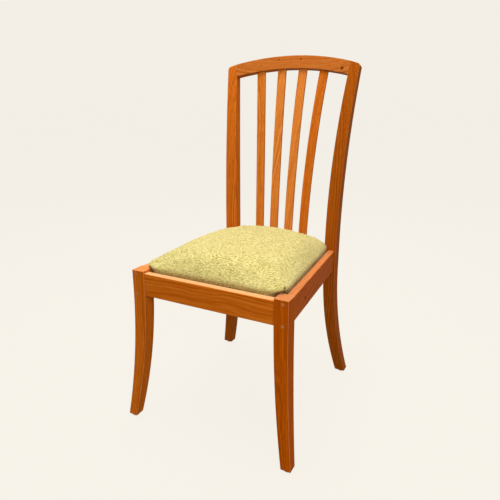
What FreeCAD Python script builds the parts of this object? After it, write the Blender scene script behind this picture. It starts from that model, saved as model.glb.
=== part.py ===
import FreeCAD
import Part
import Sketcher

import math
import os
import re

# Dining side chair in solid wood with a loose upholstered seat.
# Millimetres, +Z up, the chair faces -Y. The origin is on the floor under the middle of the chair.
# Depths are drawn from the front faces of the front legs, and each piece is then placed front_face
# further forward.

SIZES = {
    # Whole chair
    "front_face": 257.3,          # front leg faces, ahead of the origin
    # Front legs
    "leg_height": 443.0,          # floor to the leg top
    "leg_size": 37.0,             # square section at the seat
    "leg_spread": 449.0,          # across the outer faces at the seat
    "leg_sweep": 28.0,            # foot runs this far out and this far forward
    "leg_foot": 26.5,             # square section at the foot
    "leg_straight": 35.0,         # the sweep starts this far below the leg top
    "foot_chamfer": 3.5,
    # Rear posts
    "post_width": 36.0,           # at the seat, across the chair
    "post_depth": 33.0,           # at the seat, front to back
    "post_spread": 384.0,         # across the outer faces at the seat
    "post_low": 75.0,             # the foot sweeps away from this far below the leg tops
    "post_high": 9.0,             # the back leans from this far above the leg tops
    "post_joint": 485.0,          # straight again this far above the leg tops, to join the crest
    "foot_out": 40.0,             # outer face, outwards at the foot
    "foot_back": 40.0,            # front face, backwards at the foot
    "foot_width": 31.0,
    "foot_depth": 26.5,
    "back_out": 17.4,             # outer face, outwards at the crest joint
    "back_lean": 54.0,            # front face, backwards at the crest joint
    "joint_width": 30.5,          # post section at the crest joint
    "joint_depth": 25.0,
    "post_corner": 6.0,           # rounding of the outer top corner
    # Seat rails
    "rail_thick": 20.0,
    "front_rail_height": 62.0,
    "front_rail_drop": 6.0,       # front rail top, below the leg tops
    "front_rail_inset": 2.0,      # front rail face, behind the leg faces
    "side_rail_height": 62.5,
    "side_rail_inset": 4.8,       # side rail face, inside the post's outer face
    "seat_depth": 438.0,          # front leg face to rear post face
    "seat_pitch": 1.7,            # degrees, the seat falls to the back
    "rear_rail_thick": 26.0,
    "rear_rail_inset": 4.0,       # rear rail face, behind the post face
    "rear_rail_top": 2.0,         # below the leg tops
    "rear_rail_height": 72.0,
    "edge_round": 2.0,            # eased top edges of the rails
    # Mortise and tenon joints
    "tenon_thick": 8.0,
    "tenon_shoulder": 10.0,       # rail edge to tenon edge
    "tenon_length": 20.0,
    "rear_tenon_length": 14.0,    # both tenons that meet in a rear post
    "rear_tenon_inset": 5.0,      # rear rail tenon, inside the rail's back face
    "joint_gap": 0.15,            # glue gap all round a tenon
    # Crest rail
    "crest_foot": 12.0,           # its lower front corner at the post, above the post joint
    "crest_height": 37.5,
    "crest_thick": 22.0,
    "crest_rise": 24.0,           # rise of the arch between the posts
    "crest_bow": 12.5,            # the middle lies this far behind the ends
    "crest_tenon_height": 22.0,
    "crest_tenon_length": 16.0,
    # Back slats
    "slat_width": 25.4,
    "slat_thick": 8.4,
    "slat_seat": 12.0,            # length housed in the crest and in the rear rail
    "slat_sag": 10.4,             # backward curve, behind its chord
    "slat_fan_sag": 3.9,          # sideways curve of a slat, for each pitch from the middle
    "slat_low_pitch": 50.0,       # spacing at the rear rail
    "slat_high_pitch": 69.0,      # spacing at the crest
    # Joint pegs in the front legs
    "peg_diameter": 9.0,
    "peg_length": 12.5,
    "peg_proud": 0.5,
    "peg_inset": 14.0,            # from the leg's outer face
    "peg_upper": 10.0,            # below the leg top
    "peg_lower": 65.0,
    "peg_gap": 0.1,
    # Nail-on foot glides
    "glide_diameter": 19.0,
    "glide_height": 3.0,
    "glide_bevel": 1.2,
    "nail_diameter": 3.0,
    "nail_length": 15.0,
    # Corner blocks and their screws
    "block_height": 28.0,
    "block_reach": 68.0,          # along each rail
    "block_ear": 14.0,            # thickness of the ends that take the screws
    "block_ear_length": 18.0,
    "screw_diameter": 4.2,
    "screw_head": 8.0,
    "screw_head_height": 2.6,
    "screw_bite": 12.0,           # length in the rail
    "screw_gap": 0.15,
    # Loose seat
    "seat_gap": 2.0,              # cloth to rail, all round
    "cloth_thick": 1.4,
    "cloth_turn": 30.0,           # cloth turned under the board
    "soft_gap": 0.3,              # between the cloth and what it covers
    "board_thick": 12.0,
    "board_sink": 3.0,            # board top, below the side rail tops
    "crown_wall": 14.0,           # cloth stands upright this far above the rails
    "crown_middle": 70.0,         # height in the middle
    "crown_width": 130.0,         # the crown rises over this width
    "dust_thick": 0.8,
    "dust_inset": 16.0,           # dust cover edge, inside the cloth
}

REACH = 1200.0  # long enough for any cut to pass right through the chair
X_AXIS = FreeCAD.Vector(1, 0, 0)
Y_AXIS = FreeCAD.Vector(0, 1, 0)

doc = FreeCAD.newDocument("dining_side_chair")
sheet = doc.addObject("Spreadsheet::Sheet", "sizes")
for row, (name, size) in enumerate(SIZES.items(), start=1):
    sheet.set(f"A{row}", str(size))
    sheet.setAlias(f"A{row}", name)
doc.recompute()

nodes = {}


def bound(text):
    """An expression over the sheet: every word with an underscore is one of its sizes."""
    return re.sub(r"\b[a-z]+(?:_[a-z]+)+\b", lambda word: "sizes." + word.group(0), str(text))


def value(text):
    """What an expression over the sheet comes to."""
    result = sheet.evalExpression(str(text))
    return float(getattr(result, "Value", result))


def place(item, x, y, z):
    """Bind a position that is drawn from the front leg faces."""
    item.setExpression("Placement.Base.x", bound(x))
    item.setExpression("Placement.Base.y", bound(f"({y}) - front_face"))
    item.setExpression("Placement.Base.z", bound(z))


def piece(label):
    body = doc.addObject("PartDesign::Body", label)
    body.Label = label
    place(body, "0", "0", "0")
    return body


def node(label, item):
    item.Label = label
    nodes[label] = item


def mirrored(label, source):
    """The left-hand piece is the right-hand one seen in a mirror."""
    copy = doc.addObject("Part::Mirroring", label)
    copy.Source = source
    copy.Normal = X_AXIS
    return copy


def grouped(label, items):
    group = doc.addObject("Part::Compound", label)
    group.Links = items
    return group


def less(label, base, tool):
    """One shape cut from another."""
    feature = doc.addObject("Part::Cut", label)
    feature.Base = base
    feature.Tool = tool
    doc.recompute()
    if feature.Shape.Volume >= base.Shape.Volume:
        raise RuntimeError(label + " loses nothing")
    return feature


def sketch_on(body, plane, label, rise="0", offset="0", tilt="0"):
    """Sketch on one of the body's planes: moved up it, moved along its normal, tilted about X."""
    sketch = body.newObject("Sketcher::SketchObject", label)
    support = next(item for item in body.Origin.OriginFeatures if item.Role == plane)
    sketch.AttachmentSupport = (support, [""])
    sketch.MapMode = "FlatFace"
    sketch.AttachmentOffset = FreeCAD.Placement(
        FreeCAD.Vector(0, value(rise), value(offset)), FreeCAD.Rotation(X_AXIS, value(tilt)))
    if rise != "0":
        sketch.setExpression("AttachmentOffset.Base.y", bound(rise))
    if offset != "0":
        sketch.setExpression("AttachmentOffset.Base.z", bound(offset))
    if tilt != "0":
        sketch.setExpression("AttachmentOffset.Rotation.Angle", bound(tilt))
    return sketch


def outline(sketch, corners):
    """Closed outline. A corner is (u, v), or (u, v, radius) when an arc of that radius follows it:
    the arc's centre is to the right of its chord, or to the left for a negative radius."""
    first = sketch.GeometryCount
    points = [FreeCAD.Vector(value(corner[0]), value(corner[1]), 0) for corner in corners]
    ends = []
    for index, corner in enumerate(corners):
        start = points[index]
        end = points[(index + 1) % len(points)]
        if len(corner) == 2:
            sketch.addGeometry(Part.LineSegment(start, end), False)
            ends.append((1, 2))
            continue
        radius = value(corner[2])
        chord = end - start
        height = math.sqrt(radius**2 - (chord.Length / 2)**2)
        right = FreeCAD.Vector(chord.y, -chord.x, 0).normalize()
        centre = (start + end) / 2 + right * math.copysign(height, radius)
        circle = Part.Circle(centre, FreeCAD.Vector(0, 0, 1), abs(radius))
        low, high = (end, start) if radius > 0 else (start, end)
        arc = Part.ArcOfCircle(circle, circle.parameter(low), circle.parameter(high))
        sketch.addGeometry(arc, False)
        ends.append((2, 1) if radius > 0 else (1, 2))
    for index in range(len(corners)):
        after = (index + 1) % len(corners)
        sketch.addConstraint(Sketcher.Constraint(
            "Coincident", first + index, ends[index][1], first + after, ends[after][0]))
    for index, corner in enumerate(corners):
        for kind, text in zip(("DistanceX", "DistanceY"), corner):
            number = sketch.addConstraint(Sketcher.Constraint(
                kind, -1, 1, first + index, ends[index][0], value(text)))
            sketch.setExpression(f"Constraints[{number}]", bound(text))
        if len(corner) == 3:
            radius = f"abs({corner[2]})"
            number = sketch.addConstraint(Sketcher.Constraint("Radius", first + index, value(radius)))
            sketch.setExpression(f"Constraints[{number}]", bound(radius))


def border(sketch):
    """The wide border outside an outline, so that a cut leaves only what the outline holds."""
    outline(sketch, [(-REACH, -REACH), (REACH, -REACH), (REACH, REACH), (-REACH, REACH)])


def pad(body, sketch, length, side_type="Symmetric"):
    feature = body.newObject("PartDesign::Pad", sketch.Name + "_pad")
    feature.Profile = sketch
    feature.setExpression("Length", bound(length))
    feature.SideType = side_type
    doc.recompute()


def cut(body, sketch):
    """Cut right through the piece, both ways from the sketch."""
    before = body.Shape.Volume
    feature = body.newObject("PartDesign::Pocket", sketch.Name + "_cut")
    feature.Profile = sketch
    feature.Length = 2 * REACH
    feature.SideType = "Symmetric"
    doc.recompute()
    if body.Shape.Volume >= before:
        raise RuntimeError(sketch.Name + " cuts nothing")


def trim(body, plane, label, corners, **where):
    """Cut away everything outside an outline."""
    sketch = sketch_on(body, plane, label, **where)
    border(sketch)
    outline(sketch, corners)
    cut(body, sketch)


def block(body, kind, label, low, size, tilt="0"):
    """A box added to or cut from a piece: low corner and size along X, Y and Z."""
    feature = body.newObject(f"PartDesign::{kind}Box", label)
    feature.Placement.Rotation = FreeCAD.Rotation(FreeCAD.Vector(-1, 0, 0), value(tilt))
    for axis, text in zip("xyz", low):
        feature.setExpression(f"Placement.Base.{axis}", bound(text))
    for side, text in zip(("Length", "Width", "Height"), size):
        feature.setExpression(side, bound(text))
    if tilt != "0":
        feature.setExpression("Placement.Rotation.Angle", bound(tilt))
    doc.recompute()


def tenon(body, label, low, size):
    block(body, "Additive", label, low, size)


def mortise(body, label, low, size, tilt="0"):
    """The socket of a tenon: the tenon's own box, larger by the glue gap all round."""
    block(body, "Subtractive", label, [f"{text} - joint_gap" for text in low],
          [f"{text} + 2 * joint_gap" for text in size], tilt)


def bore(body, label, start, diameter, depth, axis=X_AXIS, turn=0):
    """A round hole that runs from start along Z turned by turn degrees about axis."""
    before = body.Shape.Volume
    feature = body.newObject("PartDesign::SubtractiveCylinder", label)
    feature.setExpression("Radius", bound(f"({diameter}) / 2"))
    feature.setExpression("Height", bound(depth))
    feature.Placement.Rotation = FreeCAD.Rotation(axis, turn)
    for letter, text in zip("xyz", start):
        feature.setExpression(f"Placement.Base.{letter}", bound(text))
    doc.recompute()
    if body.Shape.Volume >= before:
        raise RuntimeError(label + " cuts nothing")


def rod(label, start, diameter, length, axis, turn):
    """A plain round rod, placed like a bore."""
    feature = doc.addObject("Part::Cylinder", label)
    feature.setExpression("Radius", bound(f"({diameter}) / 2"))
    feature.setExpression("Height", bound(length))
    feature.Placement.Rotation = FreeCAD.Rotation(axis, turn)
    place(feature, *start)
    return feature


def ease(body, kind, size, chosen):
    """Round (Fillet) or bevel (Chamfer) those edges of a piece that chosen picks out."""
    tip = body.Tip
    names = [f"Edge{number}" for number, edge in enumerate(tip.Shape.Edges, start=1) if chosen(edge)]
    feature = body.newObject("PartDesign::" + kind, tip.Name + "_eased")
    feature.Base = (tip, names)
    feature.setExpression("Radius" if kind == "Fillet" else "Size", bound(size))
    doc.recompute()


def swept_radius(run, rise):
    """Radius of an arc that leaves a straight line at a tangent and ends run away from it."""
    return f"(pow({run}; 2) + pow({rise}; 2)) / (2 * ({run}))"


def arched_radius(span, rise):
    """Radius of an arc over a span, with its middle this far from the chord."""
    return f"((pow({span}; 2) / 4 + pow({rise}; 2)) / (2 * ({rise})))"


def arched_drop(radius, along):
    """How far such an arc has fallen at some distance from its middle."""
    return f"({radius} - sqrt(pow({radius}; 2) - pow({along}; 2)))"


def back_down(face):
    """A face that is drawn from the foot up, drawn from the top down."""
    corners = [face[-1][:2]]
    for above, below in zip(face[::-1], face[-2::-1]):
        if len(below) == 3:
            corners[-1] = (*above[:2], f"-({below[2]})")
        corners.append(below[:2])
    return corners


# Places that several pieces share
leg_outer = "(leg_spread / 2)"
leg_inner = "(leg_spread / 2 - leg_size)"
post_outer = "(post_spread / 2)"
post_inner = "(post_spread / 2 - post_width)"
post_back = "(seat_depth + post_depth)"
front_rail_low = "(leg_height - front_rail_drop - front_rail_height)"
front_rail_back = "(front_rail_inset + rail_thick)"
seat_fall = "tan(seat_pitch * 1 deg)"
side_rear_outer = "(post_spread / 2 - side_rail_inset)"
side_slope = f"(({leg_outer} - {side_rear_outer}) / (seat_depth - leg_size))"
side_wide = f"(rail_thick * sqrt(1 + pow({side_slope}; 2)))"
rear_rail_face = "(seat_depth + rear_rail_inset)"
rear_rail_low = "(leg_height - rear_rail_top - rear_rail_height)"
post_low_end = "(leg_height - post_low)"
post_high_end = "(leg_height + post_high)"
joint_height = "(leg_height + post_joint)"
crest_low = f"({joint_height} + crest_foot)"


def seat_height(depth, above="0"):
    """Height over the floor of a place so far above the seat plane: the side rails' top faces."""
    return f"(leg_height - ({depth} - leg_size) * {seat_fall} + ({above}))"


def side_inner(depth):
    """Inner face of the right side rail."""
    return f"({leg_outer} - {side_wide} - {side_slope} * ({depth} - leg_size))"


# Mortise and tenon joints: low corner and size of each right-hand tenon
front_tenon = ([leg_inner, "(front_rail_inset + (rail_thick - tenon_thick) / 2)",
                f"({front_rail_low} + tenon_shoulder)"],
               ["tenon_length", "tenon_thick", "(front_rail_height - 2 * tenon_shoulder)"])
side_front_tenon = ([f"({leg_outer} - {side_wide} / 2 - tenon_thick / 2)", "(leg_size - tenon_length)",
                     "(leg_height - side_rail_height + tenon_shoulder)"],
                    ["tenon_thick", "tenon_length", "(side_rail_height - 2 * tenon_shoulder)"])
side_rear_tenon = ([f"({side_rear_outer} - {side_wide} / 2 - tenon_thick / 2)", "seat_depth",
                    f"({seat_height('seat_depth')} - side_rail_height + tenon_shoulder)"],
                   ["tenon_thick", "rear_tenon_length", "(side_rail_height - 2 * tenon_shoulder)"])
rear_tenon = ([post_inner, f"({rear_rail_face} + rear_rail_thick - rear_tenon_inset - tenon_thick)",
               f"({rear_rail_low} + tenon_shoulder)"],
              ["rear_tenon_length", "tenon_thick", "(rear_rail_height - 2 * tenon_shoulder)"])

# The back leans and flares at the angles that the posts have reached at the crest joint
back_run = "(post_joint - post_high)"
lean = f"(2 * atan(back_lean / {back_run}))"
joint_front = "(seat_depth + back_lean)"
joint_back = "(seat_depth + back_lean + joint_depth)"
joint_outer = "(post_spread / 2 + back_out)"
joint_inner = "(post_spread / 2 + back_out - joint_width)"
flare = f"tan(2 * atan(({joint_inner} - {post_inner}) / {back_run}))"
crest_depth = f"({joint_front} + crest_foot * tan({lean}))"
crest_half = f"({joint_inner} + crest_foot * {flare})"
arch_radius = arched_radius(f"(2 * {crest_half})", "crest_rise")
bow_radius = arched_radius(f"(2 * {crest_half})", "crest_bow")


def arch(along):
    """Height of the crest's lower edge over its ends, in the leaning plane of the back."""
    return f"(crest_rise - {arched_drop(arch_radius, along)})"


def bow(along):
    """How far the crest's front face lies behind its ends."""
    return f"(crest_bow - {arched_drop(bow_radius, along)})"


def leaning(back, up):
    """Depth and height over the floor of a place in the crest's leaning frame."""
    return (f"({crest_depth} + ({back}) * cos({lean}) + ({up}) * sin({lean}))",
            f"({crest_low} - ({back}) * sin({lean}) + ({up}) * cos({lean}))")


# Rear posts, each sawn from one plank: first the side view, then the front view
post_top = f"({crest_low} + 2 * crest_height)"


def post_face(foot, seat, joint):
    """One face of a rear post in a view, from the foot up: foot sweep, straight, lean, straight."""
    run = f"({joint} - {seat})"
    top = f"({joint} + ({post_top} - {joint_height}) * tan(2 * atan({run} / {back_run})))"
    return [(foot, "glide_height", swept_radius(f"({foot} - {seat})", f"({post_low_end} - glide_height)")),
            (seat, post_low_end), (seat, post_high_end, swept_radius(run, back_run)),
            (joint, joint_height), (top, post_top)]


post = piece("rear_post_right")
post_side = sketch_on(post, "YZ_Plane", "post_side_view")
outline(post_side, back_down(post_face("(seat_depth + foot_back)", "seat_depth", joint_front))
        + post_face("(seat_depth + foot_back + foot_depth)", post_back, joint_back))
pad(post, post_side, "2 * post_spread")
trim(post, "XZ_Plane", "post_front_view",
     back_down(post_face(f"({post_outer} + foot_out - foot_width)", post_inner, joint_inner))
     + post_face(f"({post_outer} + foot_out)", post_outer, joint_outer))

# The post tops carry on the arch of the crest and turn down at a rounded outer corner
fall = f"asin({joint_outer} / {arch_radius})"
spread = f"(2 * atan(back_out / {back_run}))"
corner_run = f"(post_corner * tan((90 deg + {spread} - {fall}) / 2))"
corner_x = f"({joint_outer} + crest_foot * tan({spread}))"
corner_z = f"({arch(corner_x)} + crest_height)"
bend_x = f"({corner_x} - {corner_run} * cos({fall}))"
bend_end = (f"({corner_x} - {corner_run} * sin({spread}))", f"({corner_z} - {corner_run} * cos({spread}))")
past_post = f"({corner_x} + post_width)"
post_arch = sketch_on(post, "XZ_Plane", "post_arch", crest_low, f"-{crest_depth}", f"-{lean}")
outline(post_arch, [("0", "crest_rise + crest_height", arch_radius),
                    (bend_x, f"({arch(bend_x)} + crest_height)", "post_corner"), bend_end,
                    (past_post, bend_end[1]), (past_post, post_top), ("0", post_top)])
cut(post, post_arch)
ease(post, "Chamfer", "foot_chamfer", lambda edge: edge.BoundBox.ZMax < value("glide_height") + 0.01)
mortise(post, "post_side_mortise", *side_rear_tenon)
mortise(post, "post_rear_mortise", *rear_tenon)
crest_tenon = ([crest_half, "((crest_thick - tenon_thick) / 2)", "((crest_height - crest_tenon_height) / 2)"],
               ["crest_tenon_length", "tenon_thick", "crest_tenon_height"])
crest_socket = leaning(f"{crest_tenon[0][1]} - joint_gap", f"{crest_tenon[0][2]} - joint_gap")
block(post, "Subtractive", "post_crest_mortise", [joint_inner, *crest_socket],
      [f"{crest_half} - {joint_inner} + crest_tenon_length + joint_gap",
       "tenon_thick + 2 * joint_gap", "crest_tenon_height + 2 * joint_gap"], lean)
post_foot = (f"({post_outer} + foot_out - foot_width / 2)", "(seat_depth + foot_back + foot_depth / 2)")
bore(post, "post_nail_hole", [*post_foot, "0"], "nail_diameter + 2 * screw_gap",
     "glide_height + nail_length + screw_gap")
node("rear_post_right", post)
node("rear_post_left", mirrored("rear_post_left", post))

# Front legs, square at the seat and swept out and forward to a smaller foot
def leg_face(foot, seat):
    """One face of a front leg in a view, from the foot up."""
    sweep_end = "(leg_height - leg_straight)"
    return [(foot, "glide_height", swept_radius(f"({foot} - {seat})", f"({sweep_end} - glide_height)")),
            (seat, sweep_end), (seat, "leg_height")]


leg = piece("front_leg_right")
leg_side = sketch_on(leg, "YZ_Plane", "leg_side_view")
outline(leg_side, back_down(leg_face("(-leg_sweep)", "0")) + leg_face("(leg_foot - leg_sweep)", "leg_size"))
pad(leg, leg_side, "2 * leg_spread")
trim(leg, "XZ_Plane", "leg_front_view",
     back_down(leg_face(f"({leg_outer} + leg_sweep - leg_foot)", leg_inner))
     + leg_face(f"({leg_outer} + leg_sweep)", leg_outer))
ease(leg, "Chamfer", "foot_chamfer", lambda edge: edge.BoundBox.ZMax < value("glide_height") + 0.01)
mortise(leg, "leg_front_mortise", *front_tenon)
mortise(leg, "leg_side_mortise", *side_front_tenon)
peg_places = [(f"({leg_outer} - peg_inset)", f"(leg_height - {drop})") for drop in ("peg_upper", "peg_lower")]
for number, (across, high) in enumerate(peg_places, start=1):
    bore(leg, f"leg_peg_hole_{number}", [across, "-peg_length", high], "peg_diameter + 2 * peg_gap",
         "2 * peg_length - peg_proud + peg_gap", X_AXIS, -90)
leg_foot_middle = (f"({leg_outer} + leg_sweep - leg_foot / 2)", "(leg_foot / 2 - leg_sweep)")
bore(leg, "leg_nail_hole", [*leg_foot_middle, "0"], "nail_diameter + 2 * screw_gap",
     "glide_height + nail_length + screw_gap")
node("front_leg_right", leg)
node("front_leg_left", mirrored("front_leg_left", leg))

# Wooden pegs that pin the front joints
pegs = [rod(f"peg_{number}", [across, "-peg_proud", high], "peg_diameter", "peg_length", X_AXIS, -90)
        for number, (across, high) in enumerate(peg_places, start=1)]
node("joint_pegs", grouped("joint_pegs", pegs + [mirrored(f"{peg.Name}_left", peg) for peg in pegs]))


# Nail-on glides, one turned profile
def glide(label, across, depth):
    body = piece(label)
    place(body, across, depth, "0")
    profile = sketch_on(body, "XZ_Plane", label + "_profile")
    rim = "glide_diameter / 2"
    outline(profile, [("0", "0"), (f"{rim} - glide_bevel", "0"), (rim, "glide_bevel"),
                      (rim, "glide_height"), ("nail_diameter / 2", "glide_height"),
                      ("nail_diameter / 2", "glide_height + nail_length"),
                      ("0", "glide_height + nail_length")])
    turned = body.newObject("PartDesign::Revolution", label + "_turned")
    turned.Profile = profile
    turned.ReferenceAxis = (profile, ["V_Axis"])
    turned.Angle = 360
    return body


glides = [glide("glide_front", *leg_foot_middle), glide("glide_rear", *post_foot)]
node("foot_glides", grouped("foot_glides", glides + [mirrored(f"{item.Name}_left", item) for item in glides]))

# Corner blocks: a bevelled triangle with two square ears that take the screws. Their tops carry the seat
block_under = "(board_sink + board_thick + cloth_thick + dust_thick)"
screw_hole = "screw_diameter + 2 * screw_gap"
front_block_x = f"({side_inner('leg_size')} - block_reach)"
front_block_y = f"({front_rail_back} + block_reach)"
front_ear_x = f"({side_inner(front_block_y)} - block_ear)"
rear_block_x = f"({side_inner('seat_depth')} - block_reach)"
rear_block_y = f"({rear_rail_face} - block_reach)"
rear_ear_x = f"({side_inner(rear_block_y)} - block_ear)"
front_block_plan = [
    (leg_inner, front_rail_back), (leg_inner, "leg_size"), (side_inner("leg_size"), "leg_size"),
    (side_inner(front_block_y), front_block_y), (front_ear_x, front_block_y),
    (front_ear_x, f"{front_block_y} - block_ear_length"),
    (f"{front_block_x} + block_ear_length", f"{front_rail_back} + block_ear"),
    (front_block_x, f"{front_rail_back} + block_ear"), (front_block_x, front_rail_back)]
rear_block_plan = [
    (post_inner, rear_rail_face), (post_inner, "seat_depth"), (side_inner("seat_depth"), "seat_depth"),
    (side_inner(rear_block_y), rear_block_y), (rear_ear_x, rear_block_y),
    (rear_ear_x, f"{rear_block_y} + block_ear_length"),
    (f"{rear_block_x} + block_ear_length", f"{rear_rail_face} - block_ear"),
    (rear_block_x, f"{rear_rail_face} - block_ear"), (rear_block_x, rear_rail_face)]


def screw_height(depth):
    return seat_height(depth, f"-{block_under} - block_height / 2")


# Each screw: the place where its head bears on an ear, and its direction
front_screw = ([f"({front_block_x} + block_ear_length / 2)", f"({front_rail_back} + block_ear)",
                screw_height(front_rail_back)], (0, -1), X_AXIS, 90)
front_side_depth = f"({front_block_y} - block_ear_length / 2)"
front_side_screw = ([front_ear_x, front_side_depth, screw_height(front_side_depth)], (1, 0), Y_AXIS, 90)
rear_screw = ([f"({rear_block_x} + block_ear_length / 2)", f"({rear_rail_face} - block_ear)",
               screw_height(rear_rail_face)], (0, 1), X_AXIS, -90)
rear_side_depth = f"({rear_block_y} + block_ear_length / 2)"
rear_side_screw = ([rear_ear_x, rear_side_depth, screw_height(rear_side_depth)], (1, 0), Y_AXIS, 90)


def screw_start(screw, back):
    """A point on the screw's line, so far behind the place where its head bears."""
    (across, depth, high), (run_x, run_y), axis, turn = screw
    return [f"{across} - {run_x} * ({back})", f"{depth} - {run_y} * ({back})", high]


def screw_bore(body, label, screw):
    """The screw's hole in a block or a rail."""
    bore(body, label, screw_start(screw, "screw_head_height"), screw_hole,
         "screw_head_height + block_ear + screw_bite + screw_gap", *screw[2:])


def pitched(body, label, plan, above, thick):
    """A plate with a plan outline, its top so far above the seat plane and parallel to it."""
    side = sketch_on(body, "YZ_Plane", label + "_side_view")
    near, far = "(-leg_size)", "(seat_depth + leg_size)"
    below = f"{above} - ({thick})"
    outline(side, [(near, seat_height(near, below)), (far, seat_height(far, below)),
                   (far, seat_height(far, above)), (near, seat_height(near, above))])
    pad(body, side, "2 * leg_spread")
    trim(body, "XY_Plane", label + "_plan", plan)


for end, plan, screws in (("front", front_block_plan, (front_screw, front_side_screw)),
                          ("rear", rear_block_plan, (rear_screw, rear_side_screw))):
    label = f"corner_block_{end}_right"
    body = piece(label)
    pitched(body, label, plan, f"-{block_under}", "block_height")
    for number, screw in enumerate(screws, start=1):
        screw_bore(body, f"{label}_hole_{number}", screw)
    node(label, body)
    label = f"corner_block_{end}_left"
    node(label, mirrored(label, body))

screws = []
for number, screw in enumerate((front_screw, front_side_screw, rear_screw, rear_side_screw), start=1):
    start = screw_start(screw, "screw_head_height")
    whole = doc.addObject("Part::Fuse", f"screw_{number}")
    whole.Base = rod(f"screw_{number}_head", start, "screw_head", "screw_head_height", *screw[2:])
    whole.Tool = rod(f"screw_{number}_shank", start, "screw_diameter",
                     "screw_head_height + block_ear + screw_bite", *screw[2:])
    screws.append(whole)
node("corner_block_screws",
     grouped("corner_block_screws", screws + [mirrored(f"{item.Name}_left", item) for item in screws]))

# Seat rails
rail = piece("front_rail")
block(rail, "Additive", "front_rail_board", [f"-{leg_inner}", "front_rail_inset", front_rail_low],
      [f"2 * {leg_inner}", "rail_thick", "front_rail_height"])
ease(rail, "Fillet", "edge_round",
     lambda edge: edge.BoundBox.XLength > 1 and edge.BoundBox.ZMin > value(front_rail_low) + 1)
(across, depth, low), (length, thick, height) = front_tenon
tenon(rail, "front_rail_tenon_right", *front_tenon)
tenon(rail, "front_rail_tenon_left", [f"-{across} - {length}", depth, low], (length, thick, height))
screw_bore(rail, "front_rail_hole_right", front_screw)
(across, depth, high), *line = front_screw
screw_bore(rail, "front_rail_hole_left", ([f"-{across}", depth, high], *line))
node("front_rail", rail)

rail = piece("side_rail_right")
pitched(rail, "side_rail",
        [(leg_outer, "leg_size"), (side_inner("leg_size"), "leg_size"),
         (side_inner("seat_depth"), "seat_depth"), (side_rear_outer, "seat_depth")], "0", "side_rail_height")
ease(rail, "Fillet", "edge_round",
     lambda edge: edge.BoundBox.YLength > 1 and edge.BoundBox.ZMax > value("leg_height") - 1)
tenon(rail, "side_rail_front_tenon", *side_front_tenon)
tenon(rail, "side_rail_rear_tenon", *side_rear_tenon)
screw_bore(rail, "side_rail_front_hole", front_side_screw)
screw_bore(rail, "side_rail_rear_hole", rear_side_screw)
node("side_rail_right", rail)
node("side_rail_left", mirrored("side_rail_left", rail))


# Back slats, bent two ways, and the sockets that house their ends
def slat(label, step, grow="0"):
    """A slat that stands step pitches from the middle, or the space that it takes with its glue gap."""
    low_x = f"({step} * slat_low_pitch)"
    high_x = f"({step} * slat_high_pitch)"
    back = f"({bow(high_x)} + (crest_thick - slat_thick) / 2)"
    high_y, high_z = leaning(back, f"({arch(high_x)} + slat_seat)")
    low_y = f"({rear_rail_face} + (rear_rail_thick - slat_thick) / 2)"
    low_z = "(leg_height - rear_rail_top - slat_seat)"
    run = f"({high_z} - {low_z})"
    side_chord = f"sqrt(pow({high_y} - {low_y}; 2) + pow({run}; 2))"
    side_radius = arched_radius(side_chord, "slat_sag")
    fan_chord = f"sqrt(pow({high_x} - {low_x}; 2) + pow({run}; 2))"
    fan_radius = arched_radius(fan_chord, f"({step} * slat_fan_sag)")
    low_end, high_end = f"({low_z} - {grow})", f"({high_z} + {grow})"

    def strip(low, high, radius, size):
        """Both edges of the slat in a view: the same arc, moved across by its size there."""
        return [(f"{high} - {grow}", high_end, f"-{radius}"), (f"{low} - {grow}", low_end),
                (f"{low} + {size} + {grow}", low_end, radius), (f"{high} + {size} + {grow}", high_end)]

    body = piece(label)
    side = sketch_on(body, "YZ_Plane", label + "_side_view")
    outline(side, strip(low_y, high_y, side_radius, "slat_thick"))
    pad(body, side, "2 * post_spread")
    half = "slat_width / 2"
    trim(body, "XZ_Plane", label + "_front_view",
         strip(f"{low_x} - {half}", f"{high_x} - {half}", fan_radius, "slat_width"))
    return body


slats = [slat("slat_outer", "1.5"), slat("slat_inner", "0.5")]
sockets = [slat("slat_outer_socket", "1.5", "joint_gap"), slat("slat_inner_socket", "0.5", "joint_gap")]
slat_sockets = grouped("slat_sockets", sockets + [mirrored(f"{item.Name}_left", item) for item in sockets])
node("back_slat_1", mirrored("back_slat_1", slats[0]))
node("back_slat_2", mirrored("back_slat_2", slats[1]))
node("back_slat_3", slats[1])
node("back_slat_4", slats[0])

# Rear rail, with the slats' lower ends let into its top
rail = piece("rear_rail_board")
block(rail, "Additive", "rear_rail_blank", [f"-{post_inner}", rear_rail_face, rear_rail_low],
      [f"2 * {post_inner}", "rear_rail_thick", "rear_rail_height"])
ease(rail, "Fillet", "edge_round",
     lambda edge: edge.BoundBox.XLength > 1 and edge.BoundBox.ZMin > value(rear_rail_low) + 1)
(across, depth, low), (length, thick, height) = rear_tenon
tenon(rail, "rear_rail_tenon_right", *rear_tenon)
tenon(rail, "rear_rail_tenon_left", [f"-{across} - {length}", depth, low], (length, thick, height))
screw_bore(rail, "rear_rail_hole_right", rear_screw)
(across, depth, high), *line = rear_screw
screw_bore(rail, "rear_rail_hole_left", ([f"-{across}", depth, high], *line))
node("rear_rail", less("rear_rail", rail, slat_sockets))

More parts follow.
